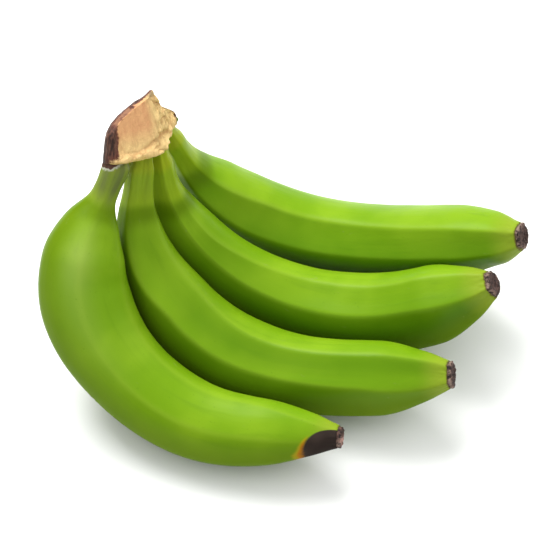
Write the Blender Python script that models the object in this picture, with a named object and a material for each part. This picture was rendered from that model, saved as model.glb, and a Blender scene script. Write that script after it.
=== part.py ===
"""A hand of four green plantains, cut from its stalk, lying on its bellies.

Four curved fingers grow in a row from one woody crown. Each finger is a bent, ridged fruit that narrows
to a stalk at the crown and to a dried blossom end at the other. The hand lies on a table: every belly
is pressed a little flat where it touches, and the crown and the blossom ends stand clear of the surface.
"""

import bpy
import bmesh
import numpy as np
from mathutils import Matrix, Vector

MM = 0.001

# Driving dimensions, in millimetres and degrees.
# Each finger is bent in one plane. "heading" turns that plane about the vertical, from +X.
# "lean" tips it sideways, "pitch" is the slope at the crown, where -90 is straight down.
# "bend" is how fast the finger turns, in degrees per finger length, at the BEND_AT stations.
# "girth" is the finger's mean radius at the GIRTH_AT stations.
# "sunk" is how far its stalk reaches into the crown.
# "ridges" are the angles of its five long ridges at the RIDGE_AT stations, from the hollow side of the
# bend towards the front. "flatness" is how flat the face after each ridge is: 0 is round, 1 is flat.
BEND_AT = (0, 0.12, 0.28, 0.5, 0.72, 0.9, 1)
GIRTH_AT = (0, 0.07, 0.14, 0.22, 0.34, 0.5, 0.68, 0.84, 0.94, 1)
RIDGE_AT = (0.05, 0.2, 0.35, 0.55, 0.8, 0.97)
FINGERS = {
    1: dict(
        root=(-69.8, -18.8, 100.6), heading=-19.4, lean=38.2, pitch=-91.6, length=212, sunk=4,
        bend=(-289, 118, 249.5, 124, 178, -40, -64),
        girth=(5.2, 6.1, 13.1, 19, 21.3, 19.6, 18.2, 15.2, 9.6, 4.8),
        ridges=(
            (-5, 5, 13, 19, 21, 45), (68, 72, 76, 80, 84, 100), (140, 140, 140, 140, 142, 160),
            (210, 210, 210, 210, 212, 225), (284, 285, 286, 286, 288, 300),
        ),
        flatness=(0.35, 0.15, 0.15, 0.15, 0.12),
    ),
    2: dict(
        root=(-59, -9.8, 88.8), heading=-18.6, lean=29.2, pitch=-90.8, length=211.5, sunk=10,
        bend=(26, 202, 148, 176, 58, 18, -48),
        girth=(4.8, 6.6, 10, 13.6, 18, 19.4, 17.8, 17, 11.4, 6),
        ridges=(
            (-5, 16, 20, 31, 33, 31), (104, 100, 78, 77, 84, 104), (170, 160, 150, 148, 152, 168),
            (228, 222, 222, 222, 222, 232), (292, 298, 300, 300, 300, 300),
        ),
        flatness=(1.1, 0.35, 0.3, 0.4, 0.28),
    ),
    3: dict(
        root=(-50.8, -0.8, 82.8), heading=-16.4, lean=11, pitch=-82, length=206, sunk=13,
        bend=(50, 220, 140, 130, 136, 40, -32),
        girth=(5.2, 7.6, 11.4, 14.2, 15.4, 17.4, 19, 18.4, 12.4, 6),
        ridges=(
            (22, 28, 17, 10, 14, 8), (60, 56, 57, 56, 58, 72), (135, 132, 130, 130, 134, 150),
            (208, 208, 208, 208, 208, 218), (292, 290, 290, 290, 290, 290),
        ),
        flatness=(1.15, 0.4, 0.3, 0.4, 0.36),
    ),
    4: dict(
        root=(-45.6, 13.4, 82.2), heading=-14.8, lean=-10.8, pitch=-76.4, length=211, sunk=13,
        bend=(-10, 158, 200, 160, 62, -18, -34),
        girth=(4.8, 7, 11.2, 16, 18.4, 18.6, 18, 16.6, 12.2, 6.2),
        ridges=(
            (28, 16, 6, 4, 11, 17), (88, 62, 56, 53, 60, 76), (150, 135, 128, 128, 132, 150),
            (208, 205, 205, 205, 205, 218), (290, 288, 288, 288, 288, 290),
        ),
        flatness=(1.15, 0.45, 0.35, 0.4, 0.5),
    ),
}
FACE_STEPS = 24  # steps in which the outline of a face is drawn
RIDGE_ROUNDING = 1.3  # steps over which a ridge is rounded off
STALK_TAPER = 0.03  # share of its radius that a stalk loses per millimetre inside the crown
BLOSSOM_END = 3  # length of the dried blossom end
GAP = 0.3  # clearance between pieces that grow together

# The crown: rings from the stalks up to the torn peak. Each is its height over the row of stalks,
# its half length along the row, its half thickness, and how far it is shifted along the row.
CROWN_RINGS = (
    (2, 24.4, 8.5, -3.8),
    (4, 25.7, 9.5, -3.5),
    (7, 25.9, 9.8, -3.3),
    (11, 25.7, 9.5, -3.3),
    (15, 24.7, 9.1, -4.2),
    (18, 23, 8.5, -5.2),
    (20, 21, 8, -6),
    (22, 18, 7.3, -7),
    (24, 14.5, 6.5, -7.5),
    (28, 7.8, 4.5, -3.8),
    (31, 2.6, 2, -0.8),
    (33, 0.8, 0.8, 0),
)
CROWN_SQUARENESS = 2.5  # 2 would make each ring an ellipse, more makes its ends blunter
CROWN_UP = (-0.03, 0.30, 0.95)
# The flat faces of the crown, each a point on it (along the row, up, out) and its facing: the knife's
# two cuts, and the two halves of the underside, which rises towards the front and the far end.
CROWN_FACES = (
    ((0, 33, 1), (-0.31, 0.45, 0.84)),
    ((0, 33, 1), (0.2, 0.26, 0.94)),
    ((-10, 4.7, 8), (-0.1, -0.95, 0.29)),
    ((8.5, 7.3, 5), (0.42, -0.9, 0.27)),
)
SOCKET_DEPTH = 20  # how far below the crown's edge a socket's cutter reaches

FACE_SIDES = 6  # of these steps, how many sides a face gets in the solid
CROWN_SIDES = 30
RINGS = 48
TIP_RINGS = 4
SOCKET_RINGS = 8
LINE_STEPS = 400  # steps in which a finger's middle line is summed
SHARP_EDGE = np.radians(50)

PEEL_GREEN = (0.20, 0.42, 0.03, 1)
CUT_TAN = (0.62, 0.42, 0.22, 1)
DRIED_BROWN = (0.06, 0.03, 0.02, 1)


def material(name, colour, roughness):
    """One Principled material in a plain colour."""
    made = bpy.data.materials.new(name)
    made.use_nodes = True
    shader = made.node_tree.nodes["Principled BSDF"]
    shader.inputs["Base Color"].default_value = colour
    shader.inputs["Roughness"].default_value = roughness
    made.diffuse_color = colour
    return made


def collection(name):
    made = bpy.data.collections.new(name)
    bpy.context.scene.collection.children.link(made)
    return made


def smooth_through(at, values, where):
    """A smooth curve through a few stations: cubic pieces whose slopes never overshoot."""
    at = np.asarray(at, float)
    values = np.asarray(values, float)
    step = np.diff(at)
    rise = np.diff(values) / step
    slope = np.zeros(len(at))
    same = rise[:-1] * rise[1:] > 0
    before = 2 * step[1:] + step[:-1]
    after = step[1:] + 2 * step[:-1]
    safe = np.where(same, rise[:-1] * rise[1:], 1)
    blended = (before + after) * safe / (before * rise[1:] + after * rise[:-1] + (~same))
    slope[1:-1] = np.where(same, blended, 0)
    slope[0] = rise[0]
    slope[-1] = rise[-1]
    piece = np.clip(np.searchsorted(at, where) - 1, 0, len(step) - 1)
    width = step[piece]
    u = (where - at[piece]) / width
    low, high = values[piece], values[piece + 1]
    ends = low * (1 + 2 * u) * (1 - u) ** 2 + high * u * u * (3 - 2 * u)
    return ends + width * (slope[piece] * u * (1 - u) ** 2 - slope[piece + 1] * u * u * (1 - u))


def centreline(finger, stations):
    """The finger's middle line and its frame (inward, sideways) at stations from 0 at the crown to 1.

    The bend rate runs straight between its stations. Summed once it gives the slope, and summed
    again it gives the place. Stations below 0 carry on straight into the crown.
    """
    turn, tip = np.radians([finger["heading"], finger["lean"]])
    ahead = np.array([np.cos(turn), np.sin(turn), 0])
    beside = np.array([-np.sin(turn), np.cos(turn), 0])
    rise = np.cos(tip) * np.array([0, 0, 1]) + np.sin(tip) * beside
    fine = np.linspace(0, 1, LINE_STEPS + 1)
    rate = np.interp(fine, BEND_AT, finger["bend"])
    turned = np.concatenate([[0], np.cumsum((rate[1:] + rate[:-1]) / 2 * np.diff(fine))])
    slope = np.radians(finger["pitch"] + turned)[:, None]
    along = np.cos(slope) * ahead + np.sin(slope) * rise
    steps = (along[1:] + along[:-1]) / 2 * finger["length"] / LINE_STEPS
    place = np.array(finger["root"]) + np.concatenate([np.zeros((1, 3)), np.cumsum(steps, axis=0)])
    at = np.clip(stations, 0, 1)
    middle = np.stack([np.interp(at, fine, place[:, k]) for k in range(3)], 1)
    middle += np.minimum(stations, 0)[:, None] * along[0] * finger["length"]
    angle = np.interp(at, fine, slope[:, 0])[:, None]
    inward = -np.sin(angle) * ahead + np.cos(angle) * rise
    sideways = np.cross(ahead, rise)[None].repeat(len(stations), 0)
    return middle, inward, sideways


def ridged_section(finger, stations):
    """The angles round the finger at each station, and the outline there as a factor of the mean radius.

    Between two ridges the outline dips by a parabola, by "flatness" times the dip of a straight face. The
    whole is then averaged over RIDGE_ROUNDING steps, which rounds the ridges off.
    """
    at = np.clip(stations, RIDGE_AT[0], RIDGE_AT[-1])
    ridges = np.stack([smooth_through(RIDGE_AT, path, at) for path in finger["ridges"]], 1)
    width = np.diff(np.concatenate([ridges, ridges[:, :1] + 360], 1), axis=1)
    across = np.arange(FACE_STEPS) / FACE_STEPS
    degrees = ridges[:, :, None] + width[:, :, None] * across
    dip = np.array(finger["flatness"]) * (1 - np.cos(np.radians(width / 2)))
    outline = 1 - dip[:, :, None] * (1 - (2 * across - 1) ** 2)
    outline = outline.reshape(len(at), -1)
    widest = int(np.ceil(3 * RIDGE_ROUNDING))
    reach = np.arange(-widest, widest + 1)
    weight = np.exp(-0.5 * (reach / RIDGE_ROUNDING) ** 2)
    outline = sum(w * np.roll(outline, k, axis=1) for w, k in zip(weight / weight.sum(), reach))
    share = np.repeat(width / FACE_STEPS / 360, FACE_STEPS, axis=1)
    outline /= (outline * share).sum(1)[:, None]
    keep = slice(None, None, FACE_STEPS // FACE_SIDES)
    return np.radians(degrees.reshape(len(at), -1)[:, keep]), outline[:, keep]


def finger_rings(finger, start, end, count, swell=0.0):
    """Rings of points along a finger, from start to end in millimetres from the crown's edge."""
    stations = np.linspace(start, end, count) / finger["length"]
    middle, inward, sideways = centreline(finger, stations)
    taper = 1 + STALK_TAPER * np.minimum(stations * finger["length"], 0)
    radius = smooth_through(GIRTH_AT, finger["girth"], np.clip(stations, 0, 1)) * taper + swell
    angles, outline = ridged_section(finger, stations)
    across = np.cos(angles)[..., None] * inward[:, None] + np.sin(angles)[..., None] * sideways[:, None]
    return middle[:, None] + (radius[:, None] * outline)[..., None] * across


def loft(name, rings, into, finish):
    """Joins rings of points into one closed skin with flat ends."""
    rings = np.asarray(rings) * MM
    shape = bmesh.new()
    loops = [[shape.verts.new(point) for point in ring] for ring in rings]
    for low, high in zip(loops, loops[1:]):
        for k in range(len(low)):
            n = (k + 1) % len(low)
            shape.faces.new((low[k], low[n], high[n], high[k]))
    shape.faces.new(loops[0][::-1])
    shape.faces.new(loops[-1])
    bmesh.ops.recalc_face_normals(shape, faces=shape.faces)
    mesh = bpy.data.meshes.new(name)
    shape.to_mesh(mesh)
    shape.free()
    mesh.materials.append(finish)
    mesh.shade_smooth()
    mesh.set_sharp_from_angle(angle=SHARP_EDGE)
    made = bpy.data.objects.new(name, mesh)
    into.objects.link(made)
    return made


def slice_off(made, point, facing):
    """Cuts away what lies beyond a plane and closes the face that the cut leaves."""
    shape = bmesh.new()
    shape.from_mesh(made.data)
    everything = shape.verts[:] + shape.edges[:] + shape.faces[:]
    found = bmesh.ops.bisect_plane(
        shape, geom=everything, dist=1e-7, plane_co=Vector(point) * MM, plane_no=Vector(facing), clear_outer=True
    )
    rim = [e for e in found["geom_cut"] if isinstance(e, bmesh.types.BMEdge)]
    bmesh.ops.contextual_create(shape, geom=rim)
    bmesh.ops.recalc_face_normals(shape, faces=shape.faces)
    shape.to_mesh(made.data)
    shape.free()
    made.data.set_sharp_from_angle(angle=SHARP_EDGE)


def crown_axes():
    """The crown's middle and its axes: along the row of stalks, up, and out of the row's front."""
    roots = np.array([f["root"] for f in FINGERS.values()], float)
    row = roots[-1] - roots[0]
    row /= np.linalg.norm(row)
    up = np.array(CROWN_UP)
    up = up - (up @ row) * row
    up /= np.linalg.norm(up)
    return roots.mean(0), row, up, np.cross(row, up)


def crown(into, sockets, finish):
    """The woody crown: an oval cushion over the row of stalks, cut by the knife, one socket a stalk."""
    middle, row, up, out = crown_axes()
    angles = np.arange(CROWN_SIDES) * 2 * np.pi / CROWN_SIDES
    rings = []
    blunt = 2 / CROWN_SQUARENESS
    lengthways = np.sign(np.cos(angles)) * np.abs(np.cos(angles)) ** blunt
    crossways = np.sign(np.sin(angles)) * np.abs(np.sin(angles)) ** blunt
    for height, half_row, half_out, shift in CROWN_RINGS:
        centre = middle + height * up + shift * row
        rings.append(centre + lengthways[:, None] * half_row * row + crossways[:, None] * half_out * out)
    made = loft("crown", rings, into, finish)
    for point, facing in CROWN_FACES:
        place = middle + point[0] * row + point[1] * up + point[2] * out
        slice_off(made, place, facing[0] * row + facing[1] * up + facing[2] * out)
    for name in sockets:
        cut = made.modifiers.new(name, "BOOLEAN")
        cut.operation = "DIFFERENCE"
        cut.object = bpy.data.objects[name]
    return made


def stand_on_origin(hand, cutters):
    """Moves everything sideways, so that the middle of the hand's box stands on the origin."""
    points = np.array([corner.co for made in hand.objects for corner in made.data.vertices])
    middle = (points.min(0) + points.max(0)) / 2
    move = Matrix.Translation((-middle[0], -middle[1], 0))
    for made in [*hand.objects, *cutters.objects]:
        made.data.transform(move)
    print("moved by", np.round(-middle[:2] / MM, 3), "mm")


def main():
    for old in list(bpy.data.objects):
        bpy.data.objects.remove(old, do_unlink=True)
    hand = collection("plantain_hand")
    cutters = collection("cutters")
    peel = material("peel", PEEL_GREEN, 0.45)
    cut_face = material("crown", CUT_TAN, 0.85)
    dried = material("blossom_end", DRIED_BROWN, 0.9)
    sockets = []
    for number, finger in FINGERS.items():
        length = finger["length"]
        fruit_rings = finger_rings(finger, -finger["sunk"], length - BLOSSOM_END - GAP, RINGS)
        fruit = loft(f"finger_{number}", fruit_rings, hand, peel)
        slice_off(fruit, (0, 0, 0), (0, 0, -1))
        tip_rings = finger_rings(finger, length - BLOSSOM_END, length, TIP_RINGS)
        loft(f"tip_{number}", tip_rings, hand, dried)
        socket_rings = finger_rings(finger, -finger["sunk"] - GAP, SOCKET_DEPTH, SOCKET_RINGS, swell=GAP)
        cutter = loft(f"socket_{number}", socket_rings, cutters, cut_face)
        cutter.hide_render = True
        cutter.display_type = "WIRE"
        sockets.append(cutter.name)
    crown(hand, sockets, cut_face)
    stand_on_origin(hand, cutters)


main()
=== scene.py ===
# %% [markdown]
# # A hand of green plantains
# A bunch of plantains is cut apart into hands. A hand is one row of fruits, called fingers, which all
# grow from one woody crown. This one has four fingers and lies on its bellies, crown in the air.
# The fingers are bent tubes with soft ridges, so a tube carried along a curve is the natural way to make
# them. The crown is an oval cushion with a knife cut across its front.

import bpy
import numpy as np
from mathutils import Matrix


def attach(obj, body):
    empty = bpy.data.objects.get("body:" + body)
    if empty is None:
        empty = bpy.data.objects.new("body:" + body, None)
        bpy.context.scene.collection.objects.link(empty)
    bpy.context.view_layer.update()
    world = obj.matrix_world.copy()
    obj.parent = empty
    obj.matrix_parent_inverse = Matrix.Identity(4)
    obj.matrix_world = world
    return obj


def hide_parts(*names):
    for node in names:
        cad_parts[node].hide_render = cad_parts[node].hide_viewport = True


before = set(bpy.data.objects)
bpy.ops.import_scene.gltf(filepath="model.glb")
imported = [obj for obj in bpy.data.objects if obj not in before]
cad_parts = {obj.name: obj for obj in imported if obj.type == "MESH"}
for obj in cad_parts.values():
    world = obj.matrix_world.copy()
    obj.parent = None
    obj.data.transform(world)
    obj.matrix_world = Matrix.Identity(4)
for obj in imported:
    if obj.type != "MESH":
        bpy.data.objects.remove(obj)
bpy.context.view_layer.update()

# %% [markdown]
# ## Camera
# The picture looks down on the hand at 52 degrees, from a little under a metre, with a long lens, so the
# far finger is hardly smaller than the near one. The camera looks along +Y, at a point on the floor.

# %% Camera
MM = 0.001  # a millimetre in m
MOVED = np.array([-7.031, 45.926, 0.0])  # from the fingers' own drawing frame to the box's middle, in mm
LOOK_DOWN = np.radians(52)
CAMERA_AWAY = 0.9  # in m
LENS = 120  # in mm, for a picture 36 mm wide
PICTURE_WIDE = 36

camera = bpy.data.objects.new("camera", bpy.data.cameras.new("camera"))
bpy.context.scene.collection.objects.link(camera)
aim = MOVED * MM
camera.location = aim + CAMERA_AWAY * np.array([0, -np.cos(LOOK_DOWN), np.sin(LOOK_DOWN)])
camera.rotation_euler = (np.pi / 2 - LOOK_DOWN, 0, 0)
camera.data.lens = LENS
camera.data.sensor_width = PICTURE_WIDE
camera.data.clip_start = 0.01
bpy.context.scene.camera = camera
print("camera at", np.round(camera.location, 4))

# %% [markdown]
# ## Light and floor
# The hand stands on white in even daylight: a sky three and a half times as bright overhead as at the
# horizon, as under thick cloud, one large softbox behind and above it, a little to the left, and a weak
# one on the right. That makes the tops of the fingers bright and their undersides dark, and leaves pale
# shadows in front. The Standard view keeps white at white.

# %% Light and floor
FLOOR_WHITE = (0.82, 0.83, 0.82, 1)
FLOOR_HALF = 3  # in m
OVERHEAD = 1.3  # how bright the sky is straight up
HORIZON = OVERHEAD / 3.5
LIT_HEIGHT = 0.04  # the softboxes face this high over the middle of the floor, in m


def softbox(name, place, size, power):
    """A square area light that faces the middle of the hand."""
    lamp = bpy.data.lights.new(name, "AREA")
    lamp.shape = "SQUARE"
    lamp.size = size
    lamp.energy = power
    made = bpy.data.objects.new(name, lamp)
    bpy.context.scene.collection.objects.link(made)
    made.location = place
    facing = -made.location
    facing.z += LIT_HEIGHT
    made.rotation_euler = facing.to_track_quat("-Z", "Y").to_euler()


softbox("softbox_back", (-0.45, 0.75, 1.25), 1.0, 34)
softbox("softbox_right", (1.0, 0.1, 0.95), 0.9, 4)

sky = bpy.data.worlds.new("sky")
sky.use_nodes = True
air = sky.node_tree.nodes["Background"]
air.inputs["Color"].default_value = (1, 1, 1, 1)
towards = sky.node_tree.nodes.new("ShaderNodeTexCoord")
parts = sky.node_tree.nodes.new("ShaderNodeSeparateXYZ")
height = sky.node_tree.nodes.new("ShaderNodeMapRange")
height.inputs["To Min"].default_value = HORIZON
height.inputs["To Max"].default_value = OVERHEAD
sky.node_tree.links.new(towards.outputs["Generated"], parts.inputs[0])
sky.node_tree.links.new(parts.outputs["Z"], height.inputs["Value"])
sky.node_tree.links.new(height.outputs["Result"], air.inputs["Strength"])
bpy.context.scene.world = sky
bpy.context.scene.view_settings.view_transform = "Standard"

floor_mesh = bpy.data.meshes.new("floor")
corners = [(x * FLOOR_HALF, y * FLOOR_HALF, 0) for x, y in ((-1, -1), (1, -1), (1, 1), (-1, 1))]
floor_mesh.from_pydata(corners, [], [(0, 1, 2, 3)])
floor = bpy.data.objects.new("floor", floor_mesh)
bpy.context.scene.collection.objects.link(floor)
paint = bpy.data.materials.new("floor_paint")
paint.use_nodes = True
surface = paint.node_tree.nodes["Principled BSDF"]
surface.inputs["Base Color"].default_value = FLOOR_WHITE
surface.inputs["Roughness"].default_value = 0.7
surface.inputs["Specular IOR Level"].default_value = 0.2
floor_mesh.materials.append(paint)

# %% [markdown]
# ## The line of each finger
# A finger bends in one plane, hard near its stalk and gently after it. Its middle line could be drawn as a
# Bezier curve, but a rate of bend is easier to read: at seven stations it says how fast the finger turns,
# in degrees per finger length. Summed once it gives the slope, and summed again it gives the place.
# The root is where the line starts. Heading, lean and pitch are degrees: which way the finger points, how far
# its plane leans over, and how steeply it starts. Girth is half the thickness and sunk is how far the stalk
# runs on inside the crown, in mm. Ridges are angles round the finger, flatness is that of the faces between.

# %% Numbers of the four fingers
BEND_AT = (0, 0.12, 0.28, 0.5, 0.72, 0.9, 1)
GIRTH_AT = (0, 0.07, 0.14, 0.22, 0.34, 0.5, 0.68, 0.84, 0.94, 1)
RIDGE_AT = (0.05, 0.2, 0.35, 0.55, 0.8, 0.97)
FINGERS = {
    1: dict(
        root=(-69.8, -18.8, 100.6), heading=-19.4, lean=38.2, pitch=-91.6, length=212, sunk=4,
        bend=(-289, 118, 249.5, 124, 178, -40, -64),
        girth=(5.2, 6.1, 13.1, 19, 21.3, 19.6, 18.2, 15.2, 9.6, 4.8),
        ridges=(
            (-5, 5, 13, 19, 21, 45), (68, 72, 76, 80, 84, 100), (140, 140, 140, 140, 142, 160),
            (210, 210, 210, 210, 212, 225), (284, 285, 286, 286, 288, 300),
        ),
        flatness=(0.35, 0.15, 0.15, 0.15, 0.12),
    ),
    2: dict(
        root=(-59, -9.8, 88.8), heading=-18.6, lean=29.2, pitch=-90.8, length=211.5, sunk=10,
        bend=(26, 202, 148, 176, 58, 18, -48),
        girth=(4.8, 6.6, 10, 13.6, 18, 19.4, 17.8, 17, 11.4, 6),
        ridges=(
            (-5, 16, 20, 31, 33, 31), (104, 100, 78, 77, 84, 104), (170, 160, 150, 148, 152, 168),
            (228, 222, 222, 222, 222, 232), (292, 298, 300, 300, 300, 300),
        ),
        flatness=(1.1, 0.75, 0.4, 0.4, 0.28),
    ),
    3: dict(
        root=(-50.8, -0.8, 82.8), heading=-16.4, lean=11, pitch=-82, length=206, sunk=13,
        bend=(50, 220, 140, 130, 136, 40, -32),
        girth=(5.2, 7.6, 11.4, 14.2, 15.4, 17.4, 19, 18.4, 12.4, 6),
        ridges=(
            (22, 28, 17, 10, 14, 8), (60, 56, 57, 56, 58, 72), (135, 132, 130, 130, 134, 150),
            (208, 208, 208, 208, 208, 218), (292, 290, 290, 290, 290, 290),
        ),
        flatness=(1.15, 0.75, 0.4, 0.4, 0.36),
    ),
    4: dict(
        root=(-45.6, 13.4, 82.2), heading=-14.8, lean=-10.8, pitch=-76.4, length=211, sunk=13,
        bend=(-10, 158, 200, 160, 62, -18, -34),
        girth=(4.8, 7, 11.2, 16, 18.4, 18.6, 18, 16.6, 12.2, 6.2),
        ridges=(
            (28, 16, 6, 4, 11, 17), (88, 62, 56, 53, 60, 76), (150, 135, 128, 128, 132, 150),
            (208, 205, 205, 205, 205, 218), (290, 288, 288, 288, 288, 290),
        ),
        flatness=(1.15, 0.75, 0.4, 0.4, 0.5),
    ),
}
STALK_TAPER = 0.03  # share of its radius that a stalk loses per millimetre inside the crown
BLOSSOM_END = 0.6  # how far before the end of the line the blossom end starts, in mm
TIP_REACH = {1: 0, 2: 0, 3: 0.2, 4: 0.8}  # how much further on its blossom end sits, in mm
print("finger lengths in mm:", [finger["length"] for finger in FINGERS.values()])

# %% [markdown]
# ## Smooth curves
# The stations are few, so what lies between them is filled in smoothly, with no bumps of its own. Two simple
# curves help with everything that fades: a bell, and a ramp that stays level at both ends.

# %% Curves through stations
LINE_STEPS = 400


def smooth_through(at, values, where):
    """A smooth curve through a few stations: cubic pieces whose slopes never overshoot.

    The slope at a station is the weighted harmonic mean of the straight slopes on both sides of it, or
    none where these point opposite ways.
    """
    at = np.asarray(at, float)
    values = np.asarray(values, float)
    step = np.diff(at)
    rise = np.diff(values) / step
    slope = np.zeros(len(at))
    same = rise[:-1] * rise[1:] > 0
    before = 2 * step[1:] + step[:-1]
    after = step[1:] + 2 * step[:-1]
    safe = np.where(same, rise[:-1] * rise[1:], 1)
    blended = (before + after) * safe / (before * rise[1:] + after * rise[:-1] + (~same))
    slope[1:-1] = np.where(same, blended, 0)
    slope[0] = rise[0]
    slope[-1] = rise[-1]
    piece = np.clip(np.searchsorted(at, where) - 1, 0, len(step) - 1)
    width = step[piece]
    u = (where - at[piece]) / width
    low, high = values[piece], values[piece + 1]
    ends = low * (1 + 2 * u) * (1 - u) ** 2 + high * u * u * (3 - 2 * u)
    return ends + width * (slope[piece] * u * (1 - u) ** 2 - slope[piece + 1] * u * u * (1 - u))


def bell(value, middle, width):
    """1 at the middle, falling off smoothly to both sides."""
    return np.exp(-(((value - middle) / width) ** 2))


def ramp(value, zero, one):
    """0 up to where it says zero, rising straight to 1 where it says one; also runs the other way round."""
    return np.clip((value - zero) / (one - zero), 0, 1)


def girth_at(finger, stations):
    """Half the finger's thickness in mm, kept level beyond both ends."""
    return smooth_through(GIRTH_AT, finger["girth"], np.clip(stations, 0, 1))


def centreline(finger, stations):
    """Middle line and its frame (inward, sideways) at stations from 0 at the crown to 1 at the tip.

    The slope is the pitch plus the sum of the bend rate. A step goes cos(slope) ahead and sin(slope) up in
    the finger's leaning plane. Stations below 0 or above 1 carry straight on.
    """
    turn, tip = np.radians([finger["heading"], finger["lean"]])
    ahead = np.array([np.cos(turn), np.sin(turn), 0])
    beside = np.array([-np.sin(turn), np.cos(turn), 0])
    rise = np.cos(tip) * np.array([0, 0, 1]) + np.sin(tip) * beside
    fine = np.linspace(0, 1, LINE_STEPS + 1)
    rate = np.interp(fine, BEND_AT, finger["bend"])
    turned = np.concatenate([[0], np.cumsum((rate[1:] + rate[:-1]) / 2 * np.diff(fine))])
    slope = np.radians(finger["pitch"] + turned)[:, None]
    along = np.cos(slope) * ahead + np.sin(slope) * rise
    steps = (along[1:] + along[:-1]) / 2 * finger["length"] / LINE_STEPS
    place = np.array(finger["root"]) + np.concatenate([np.zeros((1, 3)), np.cumsum(steps, axis=0)])
    at = np.clip(stations, 0, 1)
    middle = np.stack([np.interp(at, fine, place[:, k]) for k in range(3)], 1)
    middle += np.minimum(stations, 0)[:, None] * along[0] * finger["length"]
    middle += np.maximum(stations - 1, 0)[:, None] * along[-1] * finger["length"]
    angle = np.interp(at, fine, slope[:, 0])[:, None]
    inward = -np.sin(angle) * ahead + np.cos(angle) * rise
    sideways = np.cross(ahead, rise)[None].repeat(len(stations), 0)
    return middle, inward, sideways


# %% [markdown]
# ## The ridged section
# A plantain finger is not round: soft ridges run along it, five of them here, with nearly flat faces
# between. They swing a little round the finger as it bends. Each face is drawn as a shallow dip between its
# two ridges, and the whole outline is then averaged over a few degrees, which rounds the ridges.

# %% Ridged section
FACE_STEPS = 40
RIDGE_ROUNDING = 0.055  # of a face
CREST_WIDTH = 0.08  # of a face


def ridged_section(finger, stations):
    """Angles, outline factors and closeness to a ridge (0 to 1), each a grid of stations by angles.

    Between two ridges the factor is 1 minus a parabola, whose depth is the flatness times 1 - cos(half the
    face's width), which is the dip of a straight face. A bell-shaped average over neighbouring angles
    rounds the ridges, and dividing by the mean keeps the finger's girth.
    """
    at = np.clip(stations, RIDGE_AT[0], RIDGE_AT[-1])
    ridges = np.stack([smooth_through(RIDGE_AT, path, at) for path in finger["ridges"]], 1)
    width = np.diff(np.concatenate([ridges, ridges[:, :1] + 360], 1), axis=1)
    across = np.arange(FACE_STEPS) / FACE_STEPS
    degrees = (ridges[:, :, None] + width[:, :, None] * across).reshape(len(at), -1)
    dip = np.array(finger["flatness"]) * (1 - np.cos(np.radians(width / 2)))
    outline = (1 - dip[:, :, None] * (1 - (2 * across - 1) ** 2)).reshape(len(at), -1)
    spread = RIDGE_ROUNDING * FACE_STEPS
    reach = np.arange(-int(3 * spread), int(3 * spread) + 1)
    weight = np.exp(-0.5 * (reach / spread) ** 2)
    outline = sum(w * np.roll(outline, k, axis=1) for w, k in zip(weight / weight.sum(), reach))
    share = np.repeat(width / FACE_STEPS / 360, FACE_STEPS, axis=1)
    outline /= (outline * share).sum(1)[:, None]
    crest = np.tile(bell(np.minimum(across, 1 - across), 0, CREST_WIDTH), len(finger["ridges"]))
    return degrees, outline, np.broadcast_to(crest, degrees.shape)


def outwards(turn, inward, sideways):
    """Directions away from the middle line: cos(turn) inward + sin(turn) sideways."""
    return np.cos(turn)[..., None] * inward[:, None] + np.sin(turn)[..., None] * sideways[:, None]


# %% [markdown]
# ## Natural unevenness
# Nothing that grows is quite even. A lattice of random values, blended smoothly between its points, gives
# soft lumps of any size, the same on every run because the values come from the lattice numbers alone.

# %% Soft lumps, and meshes from grids
def lumps(points, size, seed=0):
    """Smooth noise from -1 to 1 at points (..., 3): eight lattice values blended by 3t^2 - 2t^3."""
    cell = np.floor(points / size).astype(np.int64)
    part = points / size - cell
    part = part * part * (3 - 2 * part)
    total = np.zeros(points.shape[:-1])
    for corner in np.ndindex(2, 2, 2):
        key = (cell + corner) @ np.array([374761393, 668265263, 1103515245]) + seed * 9176
        key = (key ^ (key >> 13)) * 1274126177
        value = ((key ^ (key >> 16)) & 0xFFFF) / 32767.5 - 1
        total += value * np.prod(np.where(corner, part, 1 - part), axis=-1)
    return total


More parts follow.
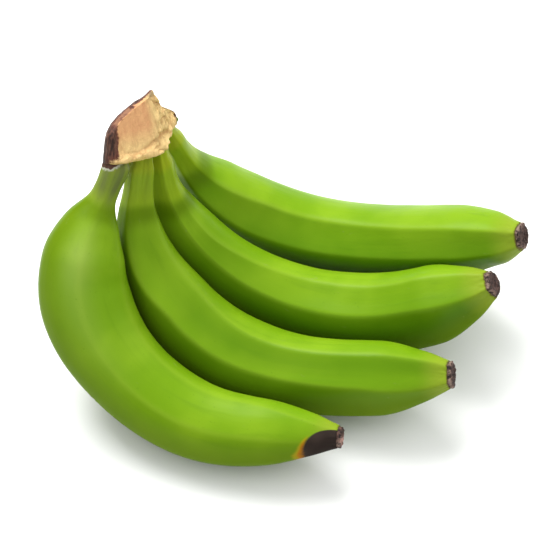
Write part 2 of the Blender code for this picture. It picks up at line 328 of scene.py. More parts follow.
def skin_mesh(name, grid, marks, finish):
    """A closed skin from a grid (rows, columns, 3) in mm: columns wrap round, each end row closes on a pole.

    marks are numbers or vectors per grid point, kept as attributes that the finish reads. If the enclosed
    volume comes out negative, the faces are turned round so that they point outwards.
    """
    rows, columns = grid.shape[:2]
    points = np.concatenate([grid.reshape(-1, 3), grid[0].mean(0)[None], grid[-1].mean(0)[None]])
    points = (points + MOVED) * MM
    index = np.arange(rows * columns).reshape(rows, columns)
    beside = np.roll(index, -1, axis=1)
    quads = np.stack([index[:-1], beside[:-1], beside[1:], index[1:]], -1).reshape(-1, 4)
    first = np.stack([beside[0], index[0], np.full(columns, rows * columns)], -1)
    last = np.stack([index[-1], beside[-1], np.full(columns, rows * columns + 1)], -1)
    a, b, c, d = (points[quads[:, k]] for k in range(4))
    volume = ((a * np.cross(b, c)).sum() + (a * np.cross(c, d)).sum()) / 6
    for fan in (first, last):
        a, b, c = (points[fan[:, k]] for k in range(3))
        volume += (a * np.cross(b, c)).sum() / 6
    faces = quads.tolist() + first.tolist() + last.tolist()
    if volume < 0:
        faces = [face[::-1] for face in faces]
    mesh = bpy.data.meshes.new(name)
    mesh.from_pydata(points.tolist(), [], faces)
    for mark, values in marks.items():
        flat = values.reshape(rows * columns, -1)
        flat = np.concatenate([flat, values[0].reshape(columns, -1).mean(0)[None], flat[-1:]])
        vector = flat.shape[1] == 3
        kept = mesh.attributes.new(mark, "FLOAT_VECTOR" if vector else "FLOAT", "POINT")
        kept.data.foreach_set("vector" if vector else "value", flat.astype(np.float32).ravel())
    mesh.shade_smooth()
    mesh.materials.append(finish)
    made = bpy.data.objects.new(name, mesh)
    bpy.context.scene.collection.objects.link(made)
    print(name, len(mesh.polygons), "faces,", round(abs(volume) * 1e6, 1), "cubic cm")
    return made


# %% [markdown]
# ## Small helpers for finishes
# The finishes are node trees. These helpers add a node or two each and hand back the output, so that a
# finish reads from top to bottom like a recipe.

# %% Helpers for node trees
def fill(socket, value):
    """Links a socket to another node's output, or sets it to a plain value."""
    if isinstance(value, bpy.types.NodeSocket):
        socket.id_data.links.new(value, socket)
    else:
        socket.default_value = value


def mark(tree, name, vector=False):
    """An attribute of the mesh, as a number or as a vector."""
    made = tree.nodes.new("ShaderNodeAttribute")
    made.attribute_name = name
    return made.outputs["Vector" if vector else "Fac"]


def stretched(tree, vector, scale):
    """Coordinates multiplied by a scale on each axis."""
    made = tree.nodes.new("ShaderNodeVectorMath")
    made.operation = "MULTIPLY"
    fill(made.inputs[0], vector)
    made.inputs[1].default_value = scale
    return made.outputs[0]


def grain(tree, vector, scale, detail=3.0, roughness=0.55, distortion=0.0):
    """Noise, about 0 to 1."""
    made = tree.nodes.new("ShaderNodeTexNoise")
    fill(made.inputs["Vector"], vector)
    made.inputs["Scale"].default_value = scale
    made.inputs["Detail"].default_value = detail
    made.inputs["Roughness"].default_value = roughness
    made.inputs["Distortion"].default_value = distortion
    return made.outputs["Fac"]


def between(tree, value, low, high, start=0.0, end=1.0):
    """Runs smoothly from start to end as a value goes from low to high."""
    made = tree.nodes.new("ShaderNodeMapRange")
    made.interpolation_type = "SMOOTHSTEP"
    fill(made.inputs["Value"], value)
    made.inputs["From Min"].default_value = low
    made.inputs["From Max"].default_value = high
    made.inputs["To Min"].default_value = start
    made.inputs["To Max"].default_value = end
    return made.outputs["Result"]


def maths(tree, operation, first, second):
    """Two numbers put together."""
    made = tree.nodes.new("ShaderNodeMath")
    made.operation = operation
    fill(made.inputs[0], first)
    fill(made.inputs[1], second)
    return made.outputs[0]


def marked(tree, name, share):
    """An attribute of the mesh, times a share."""
    return maths(tree, "MULTIPLY", mark(tree, name), share)


def ragged(tree, value, noise, swing):
    """A value pushed up or down by noise, by up to half the swing: an edge at it comes out ragged."""
    pushed = maths(tree, "MULTIPLY_ADD", noise, swing)
    pushed.node.inputs[2].default_value = -swing / 2
    return maths(tree, "ADD", value, pushed)


def blend(tree, share, first, second):
    """Two colours, mixed by a share from 0 to 1."""
    made = tree.nodes.new("ShaderNodeMix")
    made.data_type = "RGBA"
    fill(made.inputs[0], share)
    fill(made.inputs[6], first)
    fill(made.inputs[7], second)
    return made.outputs[2]


def raised(tree, height, distance, strength=1.0, under=None):
    """A bump, with an optional bump under it."""
    made = tree.nodes.new("ShaderNodeBump")
    made.inputs["Distance"].default_value = distance
    made.inputs["Strength"].default_value = strength
    fill(made.inputs["Height"], height)
    if under is not None:
        fill(made.inputs["Normal"], under)
    return made.outputs["Normal"]


def new_finish(name):
    """An empty Principled finish and its tree."""
    made = bpy.data.materials.new(name)
    made.use_nodes = True
    return made, made.node_tree, made.node_tree.nodes["Principled BSDF"]


# %% [markdown]
# ## Peel
# Green plantain peel is smooth and a little waxy. Its green varies in broad soft clouds and in faint streaks
# along the finger. Ridges are a touch lighter, partly their own tone and partly a painted highlight. Some
# faces, on the undersides and in the lee of the next finger, are painted deeper green as painted shade, and
# the outside of the bend, turned away from the light, is painted more olive, also as painted shade. The neck
# is duller, with a darker collar below it. On the near finger it is greyish, and its peel ends under the
# crown in a pale and brown fringe. A pale painted highlight lies on that finger's shoulder, and a dried dark
# patch, edged with orange, under its tip. All blossom ends turn yellowish, with a thin brown rim.
# Painting these on an image would tie them to one view of the fruit. Here every grid point knows its place
# on the unbent finger, so clouds and streaks follow the fruit all the way round.

# %% Peel finish
PEEL_GREEN = (0.125, 0.25, 0.004, 1)
PEEL_LIGHT = (0.165, 0.295, 0.008, 1)
PEEL_DEEP_AND_SHADE = (0.068, 0.165, 0.002, 1)
PEEL_RIDGE_AND_HIGHLIGHT = (0.19, 0.31, 0.016, 1)
PEEL_OLIVE_SHADE = (0.085, 0.14, 0.002, 1)
NECK_OLIVE = (0.235, 0.34, 0.012, 1)
NECK_COLLAR = (0.088, 0.16, 0.001, 1)
NECK_ROOT = (0.33, 0.36, 0.012, 1)
NECK_GREY = (0.10, 0.12, 0.038, 1)
FRINGE_BROWN = (0.07, 0.035, 0.025, 1)
FRINGE_PALE = (0.42, 0.42, 0.34, 1)
TIP_YELLOW = (0.21, 0.28, 0.02, 1)
RIM_BROWN = (0.09, 0.05, 0.02, 1)
SHOULDER_HIGHLIGHT = (0.40, 0.46, 0.16, 1)
SCUFF_GREY = (0.20, 0.235, 0.07, 1)
PATCH_YELLOW = (0.33, 0.25, 0.008, 1)
PATCH_ORANGE = (0.36, 0.13, 0.004, 1)
PATCH_BLACK = (0.022, 0.015, 0.012, 1)
PATCH_BROWN = (0.052, 0.036, 0.028, 1)


def peel_finish():
    """The peel's colours, laid over each other from broad to fine, then its sheen and relief."""
    made, tree, shader = new_finish("peel")
    place = mark(tree, "unbent", vector=True)
    # clouds, streaks, lighter ridges with a painted highlight, painted shade on some faces, and the painted
    # highlight on the shoulder
    clouds = grain(tree, place, 0.035, 2, 0.5)
    streaks = grain(tree, stretched(tree, place, (0.012, 0.22, 0.22)), 1.0, 4, 0.6)
    colour = blend(tree, between(tree, clouds, 0.35, 0.7), PEEL_GREEN, PEEL_LIGHT)
    colour = blend(tree, between(tree, streaks, 0.5, 0.85, 0, 0.35), colour, PEEL_DEEP_AND_SHADE)
    # the ridges are painted a touch lighter and yellower: partly their own tone, partly a painted highlight
    # along them
    crest = marked(tree, "crest", between(tree, streaks, 0.3, 0.7, 0.25, 0.5))
    colour = blend(tree, crest, colour, PEEL_RIDGE_AND_HIGHLIGHT)
    # painted shade: faces on the undersides and in the lee of the next finger are painted deeper green
    colour = blend(tree, mark(tree, "shade"), colour, PEEL_DEEP_AND_SHADE)
    # painted shade: the outside of the bend, turned away from the light, is painted more olive
    colour = blend(tree, between(tree, mark(tree, "outer"), -0.3, 0.8, 0, 0.7), colour, PEEL_OLIVE_SHADE)
    # painted highlight: a pale patch on the near finger's shoulder
    colour = blend(tree, mark(tree, "shoulder_highlight"), colour, SHOULDER_HIGHLIGHT)
    # the neck, in mm from the crown
    from_crown = maths(tree, "ADD", mark(tree, "from_crown"), maths(tree, "MULTIPLY", clouds, 9))
    colour = blend(tree, between(tree, from_crown, 18, 30, 0.85, 0), colour, NECK_OLIVE)
    colour = blend(tree, between(tree, from_crown, 3, 8, 0.5, 0), colour, NECK_ROOT)
    dull = marked(tree, "dull_neck", between(tree, streaks, 0.35, 0.6, 0.65, 1))
    colour = blend(tree, dull, colour, NECK_GREY)
    below = between(tree, from_crown, 20, 26)
    collar = maths(tree, "MULTIPLY", below, between(tree, from_crown, 28, 36, 0.75, 0))
    colour = blend(tree, collar, colour, NECK_COLLAR)
    fringe = ragged(tree, mark(tree, "fringe"), grain(tree, place, 0.8, 3, 0.6), 2.4)
    colour = blend(tree, between(tree, fringe, -1.8, -0.6, 0, 0.8), colour, FRINGE_PALE)
    colour = blend(tree, between(tree, fringe, -0.5, 0.1), colour, FRINGE_BROWN)
    # the yellowish end, scuffs, specks and the brown rim
    from_tip = maths(tree, "ADD", mark(tree, "from_tip"), maths(tree, "MULTIPLY", streaks, -4))
    colour = blend(tree, between(tree, from_tip, 0, 12, 0.75, 0), colour, TIP_YELLOW)
    scuffs = grain(tree, stretched(tree, place, (0.08, 0.3, 0.3)), 1.0, 5, 0.65, 0.6)
    colour = blend(tree, between(tree, scuffs, 0.66, 0.74, 0, 0.35), colour, SCUFF_GREY)
    specks = grain(tree, place, 0.9, 2, 0.5)
    colour = blend(tree, between(tree, specks, 0.68, 0.76, 0, 0.4), colour, PEEL_DEEP_AND_SHADE)
    frayed = ragged(tree, mark(tree, "from_tip"), grain(tree, place, 0.8, 3, 0.6), 1.8)
    rim = between(tree, frayed, 0, 0.8, 0.85, 0)
    colour = blend(tree, rim, colour, RIM_BROWN)
    # the dark patch, with its glow on the side away from the tip
    patch = ragged(tree, mark(tree, "patch"), grain(tree, place, 0.55, 3, 0.6), 1.6)
    far_end = between(tree, mark(tree, "from_tip"), 11, 15)
    glow = maths(tree, "MULTIPLY", between(tree, patch, -3.6, -1.8, 0, 0.8), far_end)
    colour = blend(tree, glow, colour, PATCH_YELLOW)
    glow = maths(tree, "MULTIPLY", between(tree, patch, -2.2, -0.9, 0, 0.9), far_end)
    colour = blend(tree, glow, colour, PATCH_ORANGE)
    dark = between(tree, patch, -1.3, 0.9)
    colour = blend(tree, dark, colour, blend(tree, between(tree, clouds, 0.4, 0.6), PATCH_BLACK, PATCH_BROWN))
    fill(shader.inputs["Base Color"], colour)
    # dried skin is duller than peel, and the outside of the bend has less sheen
    rough = between(tree, streaks, 0.3, 0.8, 0.28, 0.42)
    rough = maths(tree, "ADD", rough, maths(tree, "MULTIPLY", maths(tree, "ADD", dark, rim), 0.2))
    fill(shader.inputs["Roughness"], rough)
    fill(shader.inputs["Specular IOR Level"], between(tree, mark(tree, "outer"), 0, 0.8, 0.06, 0.02))
    pores = raised(tree, grain(tree, place, 1.6, 2, 0.5), 0.00005, 0.35)
    fill(shader.inputs["Normal"], raised(tree, streaks, 0.0004, 0.35, pores))
    shader.inputs["Subsurface Weight"].default_value = 0.06
    shader.inputs["Subsurface Radius"].default_value = (0.7, 1.0, 0.15)
    shader.inputs["Subsurface Scale"].default_value = 0.002
    return made


peel = peel_finish()
print("peel finish:", len(peel.node_tree.nodes), "nodes")

# %% [markdown]
# ## Fingers
# Each finger is a ring of points carried along its middle line: the girth at each station times the ridged
# section. On the neck the skin shrinks into fine creases and flares a little where it joins the crown, and
# near the blossom end it puckers. Where the belly meets the floor it is pressed flat by less than a
# millimetre.

# %% Shape of a finger
ALONG = 250
SKIN_GAP = 0.2  # how far before its blossom end the peel stops, in mm
NECK_LENGTH = 16  # over which the neck's creases fade, in mm
PUCKER_LENGTH = 4  # the same at the tip
FULL_END = {1: 0, 2: 0, 3: 0, 4: 1.9}  # how much fuller the camera side of the last centimetre is, in mm


def pressed_on_floor(points):
    """Heights near the floor go through (z + root of z^2 + 0.3^2) / 2, which never falls below it."""
    z = points[..., 2]
    lifted = np.where(z < 3, (z + np.sqrt(z * z + 0.3**2)) / 2 - 0.007, z)
    return np.concatenate([points[..., :2], np.maximum(lifted, 0.0)[..., None]], -1)


def neck_flare(number, turn):
    """How much wider a neck gets at the crown, in mm: most where the first two necks grow together."""
    if number == 1:
        return 0.3 + 1.6 * np.clip(np.cos(turn) + 0.3, 0, 1)
    if number == 2:
        return 0.8 + 0.8 * np.clip(-np.cos(turn), 0, 1)
    return 0.8


def finger_shape(number, finger):
    """The finger's skin as a grid: middle line + girth * section * (cos inward + sin sideways).

    Also, for the marks: places on the unbent finger, mm along it, degrees round it, closeness to a ridge.
    """
    length = finger["length"]
    stations = np.linspace(-finger["sunk"], length - BLOSSOM_END + TIP_REACH[number] - SKIN_GAP, ALONG)
    middle, inward, sideways = centreline(finger, stations / length)
    radius = girth_at(finger, stations / length)[:, None]
    degrees, factor, crest = ridged_section(finger, stations / length)
    turn = np.radians(degrees)
    along = stations[:, None] * np.ones_like(turn)
    unbent = np.stack([along + 500 * number, radius * np.cos(turn), radius * np.sin(turn)], -1)
    from_tip = length - along
    neck = bell(np.maximum(along, 0), 0, NECK_LENGTH)
    pucker = bell(from_tip, BLOSSOM_END, PUCKER_LENGTH)
    creases = lumps(unbent * [0.03, 0.8, 0.8], 1.0, 3)
    relief = (0.22 * lumps(unbent, 26, 1) + 0.08 * lumps(unbent, 9, 2)) * np.clip(radius / 18, 0.2, 1)
    relief = relief + 0.22 * neck * creases + 0.25 * pucker * creases
    buried = 1 + STALK_TAPER * np.minimum(along, 0)
    flare = neck_flare(number, turn) * bell(along, 0, 7) * ramp(along, -6, 0)
    plump = FULL_END[number] * bell(from_tip, 7, 7) * bell(degrees, 120, 45)
    wide = (radius * factor + relief) * buried + flare + plump
    grid = middle[:, None] + wide[..., None] * outwards(turn, inward, sideways)
    return pressed_on_floor(grid), unbent, along, degrees, crest * np.clip(radius / 12, 0, 1)


# %% [markdown]
# The finish has to know where on the finger it is: how far from the crown and from the tip, on a ridge or on
# a face, on the inside or the outside of the bend. These marks are kept at every point of the grid, so the
# colours are tied to the fruit. Three of them belong to the near finger alone.

# %% Marks for the peel, and the four fingers
# painted shade: how much deeper green is painted on two faces, the undersides and those in the next finger's
# lee
SHADED = {1: (0, 0), 2: (0.55, 0.25), 3: (0.15, 1.0), 4: (0.35, 1.0)}  # deeper green on two faces
UPPER_FACE = (45, 22)  # middle and half width, in degrees round the finger from the inside of its bend
LOWER_FACE = (100, 38)
DULL_NECK = {1: 0.9, 2: 0.2, 3: 0, 4: 0}  # how greyish each neck is, 0 to 1
# painted highlight: where the pale patch lies on the near finger's shoulder
SHOULDER_HIGHLIGHT_ROUND = (78, 22)  # middle and half width of the pale bloom, in degrees round the near finger
PATCH_MIDDLE = 160  # degrees round the near finger, on its underside
PATCH_HALF = 122  # degrees to either side
PATCH_LENGTH = 15.6  # from the tip, in mm
NOWHERE = -50.0  # so far below an edge that nothing of it shows


def finger_marks(number, length, unbent, along, degrees, crest):
    """What the peel's finish reads at each point."""
    turn = np.radians(degrees)
    from_tip = length - along
    upper, lower = SHADED[number]
    shade = upper * bell(degrees, *UPPER_FACE) + lower * bell(degrees, *LOWER_FACE)
    marks = {
        "unbent": unbent,
        "crest": crest,
        "outer": -np.cos(turn),
        "from_crown": along,
        "dull_neck": DULL_NECK[number] * ramp(along, 22, 10),
        "fringe": np.full_like(along, NOWHERE),
        "from_tip": from_tip - BLOSSOM_END + TIP_REACH[number],
        "shade": np.clip(shade * ramp(along, 35, 85), 0, 1),
        "shoulder_highlight": np.zeros_like(along),
        "patch": np.full_like(along, NOWHERE),
    }
    if number == 1:
        marks["fringe"] = 1.6 - along - 0.9 * np.clip(1 + np.cos(turn), 0, 1)
        marks["fringe"] -= 6 * np.clip(np.cos(turn) - 0.1, 0, 1)
        # the painted highlight on the near finger's shoulder
        marks["shoulder_highlight"] = np.interp(along, (20, 40, 60, 120), (0, 0.24, 0.12, 0)) * bell(degrees, *SHOULDER_HIGHLIGHT_ROUND)
        turned = np.abs((degrees - PATCH_MIDDLE + 180) % 360 - 180)
        reach = PATCH_LENGTH * (1 - (turned / PATCH_HALF) ** 3.3)
        marks["patch"] = (reach - from_tip) * np.interp(turned, (30, 75), (0.6, 1.6))
    return marks


for number, finger in FINGERS.items():
    grid, *places = finger_shape(number, finger)
    marks = finger_marks(number, finger["length"], *places)
    fruit = skin_mesh(f"fruit_{number}", grid, marks, peel)
    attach(fruit, "root")
    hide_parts(f"finger_{number}")

# %% [markdown]
# ## Dried blossom ends
# The flower dries up and drops off, and leaves a dark corky stub at the end of each finger, rough, slightly
# hollow, with a paler torn rim. The near finger's stub was cut, so its face is paler and pinkish. The finish
# mixes dark and brown cork, and the marks say where the rim, the hollow and the pink are; in the hollow the
# cork is painted darker still, as painted shade.

# %% Blossom end finish
STUB_DARK = (0.016, 0.008, 0.007, 1)
STUB_BROWN = (0.10, 0.05, 0.037, 1)
STUB_PALE = (0.24, 0.17, 0.13, 1)
STUB_PINK = (0.48, 0.28, 0.23, 1)


def stub_finish():
    """Mottled cork, darkest in the hollow, where it is painted darker still as painted shade, pale on the
    torn rim, and rough all over.
    """
    made, tree, shader = new_finish("blossom_end")
    place = mark(tree, "unbent", vector=True)
    coarse = grain(tree, place, 0.5, 4, 0.65, 0.4)
    fine = grain(tree, place, 1.6, 3, 0.6)
    colour = blend(tree, between(tree, coarse, 0.38, 0.62), STUB_DARK, STUB_BROWN)
    # painted shade: the hollow's cork is painted darker still
    colour = blend(tree, marked(tree, "dark_core_and_shade", 0.75), colour, STUB_DARK)
    colour = blend(tree, between(tree, fine, 0.56, 0.7, 0, 0.5), colour, STUB_PALE)
    torn = marked(tree, "rim", between(tree, coarse, 0.42, 0.56, 0, 0.9))
    colour = blend(tree, torn, colour, STUB_PALE)
    pink = marked(tree, "pink", between(tree, coarse, 0.42, 0.58, 0.15, 1))
    colour = blend(tree, pink, colour, STUB_PINK)
    fill(shader.inputs["Base Color"], colour)
    fill(shader.inputs["Roughness"], between(tree, fine, 0.3, 0.7, 0.7, 0.95))
    under = raised(tree, coarse, 0.0008, 0.7)
    fill(shader.inputs["Normal"], raised(tree, fine, 0.0003, 0.6, under))
    shader.inputs["Specular IOR Level"].default_value = 0.3
    return made


stub = stub_finish()
print("blossom end finish:", len(stub.node_tree.nodes), "nodes")

# %% [markdown]
# A stub is a disc carried on along the finger's line. Its profile runs up the outside, over the rim and
# down into the hollow face, and lumps of three sizes roughen it where it shows.

# %% Blossom ends
STUB_ROWS = 90
STUB_ALONG = (-2.0, -0.4, 0.2, 0.7, 1.1, 1.4, 1.5, 1.3, 0.9, 0.6, 0.55)  # in mm past the blossom end's start
STUB_OUT = (0.80, 0.92, 0.97, 0.98, 0.95, 0.88, 0.78, 0.66, 0.5, 0.3, 0.06)  # as a share of the girth


def blossom_stub(number, finger):
    """A stub as a grid: a profile (how far along, how far out) carried round, roughened by lumps."""
    length = finger["length"]
    knots = np.linspace(0, 1, len(STUB_ALONG))
    fine = np.linspace(0, 1, STUB_ROWS)
    reach = smooth_through(knots, STUB_ALONG, fine)
    out = smooth_through(knots, STUB_OUT, fine)
    stations = length - BLOSSOM_END + TIP_REACH[number] + reach
    middle, inward, sideways = centreline(finger, stations / length)
    degrees, factor, _ = ridged_section(finger, stations / length)
    turn = np.radians(degrees)
    size = (girth_at(finger, stations / length) * out)[:, None]
    flat = np.stack([reach[:, None] + 50 * number + 0 * turn, size * np.cos(turn), size * np.sin(turn)], -1)
    rough = 0.5 * lumps(flat, 2.6, 11) + 0.4 * lumps(flat, 1.1, 12) + 0.16 * lumps(flat, 0.5, 13)
    shown = ramp(reach, -0.6, 0.8)[:, None]
    wide = size * factor + rough * shown * np.clip(out, 0, 1)[:, None]
    grid = middle[:, None] + wide[..., None] * outwards(turn, inward, sideways)
    grid -= (0.7 * np.abs(rough) * shown)[..., None] * np.cross(sideways, inward)[:, None]
    below = np.clip(0.4 - 1.2 * np.cos(turn), 0, 1) if number == 1 else np.ones_like(turn)
    rim = bell(fine, 0.32, 0.16)[:, None] * below
    dark_core_and_shade = ramp(fine, 0.5, 0.62)[:, None] * (0.4 if number == 1 else 1) + 0 * turn
    pink = (fine > 0.45)[:, None] * (0.9 if number == 1 else 0.1) * below
    return grid, {"unbent": flat, "rim": rim, "dark_core_and_shade": dark_core_and_shade, "pink": pink}


for number, finger in FINGERS.items():
    grid, marks = blossom_stub(number, finger)
    end = skin_mesh(f"blossom_end_{number}", grid, marks, stub)
    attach(end, "root")
    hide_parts(f"tip_{number}")

# %% [markdown]
# ## Crown
# The crown is where the hand was cut from the stalk. Its back and its left end still carry dark dried skin,
# with a ragged edge. Its front is bare fibrous flesh, dried to tan: a smooth knife cut on the left, pinkish
# towards the skin and with a narrow reddish bevel, a torn rough face on the right, and a thick rolled lip
# below that hangs over the necks. The finish lays the fibres along the cut and lets the marks say which
# kind of surface is where.

# %% Crown finish
CUT_LIGHT = (0.60, 0.435, 0.185, 1)
CUT_TAN = (0.515, 0.35, 0.145, 1)
CUT_FIBRE_AND_SHADE = (0.46, 0.245, 0.095, 1)
CUT_PINK = (0.58, 0.27, 0.13, 1)
CUT_RED = (0.24, 0.12, 0.07, 1)
LIP_CREAM = (0.80, 0.57, 0.25, 1)
SKIN_BROWN = (0.115, 0.05, 0.032, 1)
SKIN_DARK = (0.026, 0.012, 0.009, 1)
SKIN_GREY = (0.17, 0.125, 0.095, 1)
SKIN_GREEN = (0.10, 0.15, 0.012, 1)
SKIN_RED = (0.16, 0.05, 0.03, 1)
CUT_GREEN = (0.34, 0.33, 0.03, 1)


def crown_finish():
    """Cut flesh and dried skin, each mixed from its own tones, with the skin's edge between them."""
    made, tree, shader = new_finish("crown")
    place = mark(tree, "crown_place", vector=True)
    fibres = grain(tree, stretched(tree, place, (0.8, 0.09, 0.8)), 1.0, 5, 0.6, 0.3)
    blotches = grain(tree, place, 0.16, 4, 0.6, 0.4)
    strands = grain(tree, stretched(tree, place, (0.3, 0.03, 0.3)), 1.0, 3, 0.6, 0.4)
    crumbs = grain(tree, place, 0.7, 4, 0.65)
    # the cut flesh: fibres everywhere, crumbs on the torn face, cream on the lip
    cut = blend(tree, between(tree, blotches, 0.35, 0.65), CUT_TAN, CUT_LIGHT)
    cut = blend(tree, between(tree, fibres, 0.5, 0.72, 0, 0.5), cut, CUT_FIBRE_AND_SHADE)
    cut = blend(tree, between(tree, fibres, 0.48, 0.34, 0, 0.6), cut, LIP_CREAM)
    cut = blend(tree, between(tree, strands, 0.54, 0.42, 0, 0.5), cut, LIP_CREAM)
    cut = blend(tree, between(tree, strands, 0.54, 0.66, 0, 0.4), cut, CUT_FIBRE_AND_SHADE)
    cut = blend(tree, marked(tree, "torn", between(tree, crumbs, 0.52, 0.36, 0, 0.75)), cut, LIP_CREAM)
    cut = blend(tree, marked(tree, "torn", between(tree, crumbs, 0.54, 0.72, 0, 0.6)), cut, CUT_FIBRE_AND_SHADE)
    cut = blend(tree, marked(tree, "lip", 0.9), cut, LIP_CREAM)
    # painted shade: the creases of the torn face and the lip, and the groove under the cut faces, are painted
    # in the dark fibre colour
    cut = blend(tree, marked(tree, "crease_shade", 0.55), cut, CUT_FIBRE_AND_SHADE)
    cut = blend(tree, marked(tree, "groove", 0.6), cut, CUT_FIBRE_AND_SHADE)
    # its edges: withered at the peak, green at the necks, pink and red towards the skin
    withered = marked(tree, "peak", between(tree, fibres, 0.3, 0.6, 0.3, 0.8))
    cut = blend(tree, withered, cut, SKIN_GREY)
    sprout = marked(tree, "root_edge", between(tree, crumbs, 0.35, 0.6, 0.25, 0.75))
    cut = blend(tree, sprout, cut, CUT_GREEN)
    edge = ragged(tree, mark(tree, "skin_edge"), crumbs, 2.4)
    pink = marked(tree, "pink", between(tree, edge, -5.5, -0.6, 0, 0.75))
    cut = blend(tree, pink, cut, CUT_PINK)
    cut = blend(tree, mark(tree, "bevel"), cut, CUT_RED)
    # the dried skin
    skin = blend(tree, between(tree, fibres, 0.4, 0.62), SKIN_DARK, SKIN_BROWN)
    skin = blend(tree, between(tree, fibres, 0.6, 0.76, 0, 0.65), skin, SKIN_GREY)
    greening = maths(tree, "ADD", mark(tree, "greening"), maths(tree, "MULTIPLY", blotches, 0.5))
    skin = blend(tree, between(tree, greening, 0.7, 1.05), skin, SKIN_GREEN)
    skin = blend(tree, between(tree, edge, 1.6, 0.3, 0, 0.5), skin, SKIN_RED)
    fill(shader.inputs["Base Color"], blend(tree, between(tree, edge, -0.5, 0.4), cut, skin))
    fill(shader.inputs["Roughness"], between(tree, edge, -0.4, 0.4, 0.88, 0.6))
    under = raised(tree, fibres, 0.0006, 0.6)
    fill(shader.inputs["Normal"], raised(tree, crumbs, 0.0008, 0.6, under))
    shader.inputs["Specular IOR Level"].default_value = 0.15
    return made


crown_wood = crown_finish()
print("crown finish:", len(crown_wood.node_tree.nodes), "nodes")

# %% [markdown]
# The crown's body is a stack of rings, blunt ovals that narrow upwards from the row of necks to the torn
# peak. It has its own axes: along the row of necks, up, and out of the front.

# %% Rings of the crown
# height over the necks, half the length, half the depth, and shift along the row, in mm
CROWN_RINGS = (
    (2, 24.4, 8.5, -3.8),
    (4, 25.7, 9.5, -3.5),
    (7, 25.9, 9.8, -3.3),
    (11, 25.7, 9.5, -3.3),
    (15, 24.7, 9.1, -4.2),
    (18, 23, 8.5, -5.2),
    (20, 21, 8, -6),
    (22, 18, 7.3, -7),
    (24, 14.5, 6.5, -7.5),
    (28, 7.8, 4.5, -3.8),
    (31, 2.6, 2, -0.8),
    (33, 0.8, 0.8, 0),
)
CROWN_UP = (-0.03, 0.30, 0.95)
PEAK = 33  # in mm over the necks
BLUNT = 2.5  # 2 makes a ring an ellipse, more makes it squarer
LIP_ROUNDING = 2.4
CROWN_ROWS = 200
CROWN_UNDER = 24
CROWN_AROUND = 360


def crown_axes():
    """The middle of the row of necks and the axes along the row, up, and out of its front."""
    roots = np.array([f["root"] for f in FINGERS.values()], float)
    row = roots[-1] - roots[0]
    row /= np.linalg.norm(row)
    up = np.array(CROWN_UP)
    up = up - (up @ row) * row
    up /= np.linalg.norm(up)
    return roots.mean(0), row, up, np.cross(row, up)


def crown_rings():
    """The rings |along / half length|^2.5 + |out / half depth|^2.5 = 1, as grids along, up and out.

    The underside lies on the higher of two slopes, blended: one rises towards the near end and the front,
    and one towards the far end, where the last neck shows. Its own rings shrink to the middle. Also gives
    that shrinking and the underside's height.
    """
    rings = np.array(CROWN_RINGS, float)
    turn = np.arange(CROWN_AROUND) * 2 * np.pi / CROWN_AROUND
    lengthways = np.sign(np.cos(turn)) * np.abs(np.cos(turn)) ** (2 / BLUNT)
    crossways = np.sign(np.sin(turn)) * np.abs(np.sin(turn)) ** (2 / BLUNT)
    near_half = 4.7 - 0.11 * (25.7 * lengthways + 6.5) + 0.3 * (9.5 * crossways - 8)
    far_half = 7.3 + 0.47 * (25.7 * lengthways - 12) + 0.3 * (9.5 * crossways - 5)
    base = np.clip(np.logaddexp(near_half, far_half), 1.2, 14)
    rise = np.concatenate([np.zeros(CROWN_UNDER), np.linspace(0, 1, CROWN_ROWS) ** 1.15])[:, None]
    height = base + (PEAK - base) * rise
    half_row, half_out, shift = (smooth_through(rings[:, 0], rings[:, k], height) for k in (1, 2, 3))
    lift = np.clip((height - base) / LIP_ROUNDING, 0, 1)
    rounding = 1 - 0.16 * (1 - np.sqrt(1 - (1 - lift) ** 2))
    inwards = np.concatenate([np.linspace(0.05, 1, CROWN_UNDER), np.ones(CROWN_ROWS)])[:, None]
    along = shift + half_row * lengthways * rounding * inwards
    out = half_out * crossways * rounding * inwards
    return along, height, out, inwards, base


# %% [markdown]
# What stands in front of the two cut faces is moved back onto them. A face is given by how far out it lies
# at the peak, and how much further out with each millimetre down and along. A groove under the faces sets
# off the rolled lip, and a small dark knob sticks out behind the peak. Dried skin starts at a line from the
# lower left up to the peak, and on the back.

# %% Crown
SMOOTH_CUT = (1.2, 0.36, 0.2)  # mm out at the peak, and per mm down and along
TORN_CUT = (1.2, 0.27, -0.21)
GROOVE = ((-24, 10.4), (-17, 9.7), (-13, 10.4), (-7.5, 11.5), (1.2, 13.1), (8, 12.6))  # along and up
KNOB = (-12.5, 28.4)  # along and up, in mm
KNOB_SIZE = 1.3
DARK_SPOT = (19.3, 14.6)
# the dried skin starts this far along the row, at these heights
SKIN_AT = (2, 6.7, 10.5, 16.6, 20, 23.2, 25, 28, 31, 33)
SKIN_EDGE = (-29.4, -29.2, -27.8, -25.3, -25.2, -23.9, -20.1, -12.4, -4.4, -1.5)


def near_line(along, height, line):
    """Distance in the front's plane from a line of straight pieces."""
    best = np.full(along.shape, 1e9)
    for (a0, h0), (a1, h1) in zip(line, line[1:]):
        da, dh = a1 - a0, h1 - h0
        t = np.clip(((along - a0) * da + (height - h0) * dh) / (da * da + dh * dh), 0, 1)
        best = np.minimum(best, np.hypot(along - a0 - t * da, height - h0 - t * dh))
    return best


def cut_face(face, along, height):
    """How far out a flat cut lies: out = first + second * (peak - height) + third * along."""
    at_peak, downwards, onwards = face
    return at_peak + downwards * (PEAK - height) + onwards * along


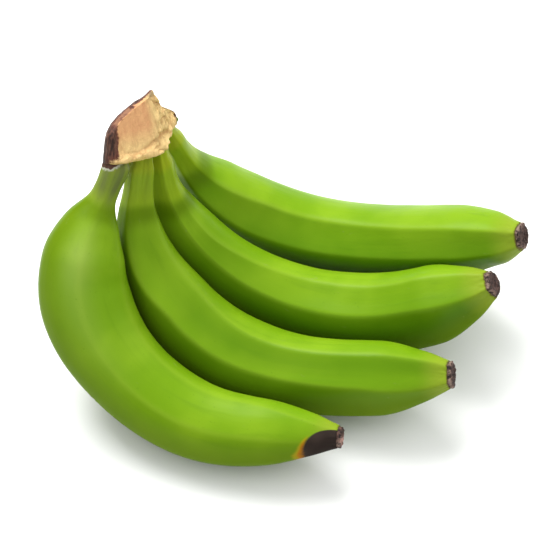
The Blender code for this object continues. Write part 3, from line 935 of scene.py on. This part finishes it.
def dried_skin(along, height, out, left, knob):
    """Above 0 where the crown carries dried skin: left of a line, behind another, on a spot and the knob."""
    behind = np.interp(height, (2, 8, 15, 22, 28, 33), (-6, -6, -5, -3, -0.6, 0.2))
    behind = behind * (1 - left) * np.interp(along, (8, 15), (1, 0.25))
    behind = behind + left * np.interp(height, (15, 18, 22, 27), (0, -1, -2.4, -2.7))
    spot = 2.6 - np.hypot(along - DARK_SPOT[0], 0.7 * (height - DARK_SPOT[1]))
    edge = np.maximum(np.interp(height, SKIN_AT, SKIN_EDGE) - along, behind - out)
    return np.maximum(edge, np.maximum(spot, 3 * knob - 1))


def crown_skin():
    """The rings with lumps, cut faces, groove, lip and knob, and the marks for the crown's finish."""
    along, height, out, inwards, base = crown_rings()
    spot = np.stack([along, height, out], -1)
    coarse = lumps(spot, 5.0, 21)
    medium = lumps(spot, 2.2, 22)
    fibres = lumps(spot * [1.1, 0.16, 1.1], 1.0, 23)
    folds = np.abs(lumps(spot * [1, 1.3, 0.6] + 0.5 * medium[..., None], 3.4, 24))
    smooth_cut = cut_face(SMOOTH_CUT, along, height) + 0.15 * coarse + 0.12 * fibres
    torn_cut = cut_face(TORN_CUT, along, height) + 0.8 * coarse + 0.5 * medium + 0.35 * fibres
    torn_cut = torn_cut + 2.2 * np.minimum(folds, 0.45) - 0.6
    limit = np.minimum(smooth_cut, torn_cut)
    torn = ramp(smooth_cut - torn_cut, -0.75, 0.75)
    left = ramp(along, -8, -14)
    bevel = ramp(limit - out, 0, 0.6) * left * ramp(height, 15, 18)
    front = ramp(out, 0, 2)
    open_wide = np.interp(along, (-24, -14, -6, 2, 9, 14), (0.4, 0.6, 0.8, 1, 0.5, 0.1))
    wavy = near_line(along + 1.1 * medium + 0.5 * fibres, height + 0.9 * coarse, GROOVE)
    groove = bell(wavy, 0, 0.9) * front * open_wide
    lip = bell(height - base, 2.6, 2.2) * front * np.clip((18 - along) / 8, 0.3, 1)
    body = out * (1 + 0.02 * coarse) + 0.35 * medium * np.clip(np.abs(out) / 3, 0, 1) * np.sign(out)
    out = np.where(out > 0, np.minimum(body, limit), body)
    rolled = 0.7 + 0.5 * coarse + 0.5 * medium + 0.8 * np.minimum(folds, 0.4)
    out = out - 1.3 * groove + lip * rolled * inwards
    knob = bell(np.hypot(along - KNOB[0], height - KNOB[1]), 0, KNOB_SIZE)
    knob = knob * np.clip(1.5 - np.abs(out + 2) / 2, 0, 1)
    centre, row, up, front_way = crown_axes()
    grid = centre + along[..., None] * row + height[..., None] * up + out[..., None] * front_way
    grid = grid + (0.9 * knob)[..., None] * (0.8 * up - 0.6 * row)
    marks = {
        "crown_place": np.stack([along, height, out], -1),
        "torn": torn,
        "crease_shade": bell(folds, 0, 0.1) * np.maximum(torn, np.clip(2 * lip, 0, 1)),
        "lip": lip,
        "groove": groove,
        "skin_edge": dried_skin(along, height, out, left, knob),
        "bevel": bevel,
        "pink": np.interp(height, (12, 19, 29, 31), (0.15, 1, 1, 0.3)) * ramp(along, -2, -7),
        "peak": ramp(height, 29.5, 32.5),
        "root_edge": bell(height - base, 0, 1.2),
        "greening": ramp(height - base, 9, 0) * ramp(along, -22, -12),
    }
    return grid, marks


grid, marks = crown_skin()
crown = skin_mesh("crown_cushion", grid, marks, crown_wood)
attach(crown, "root")
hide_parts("crown")
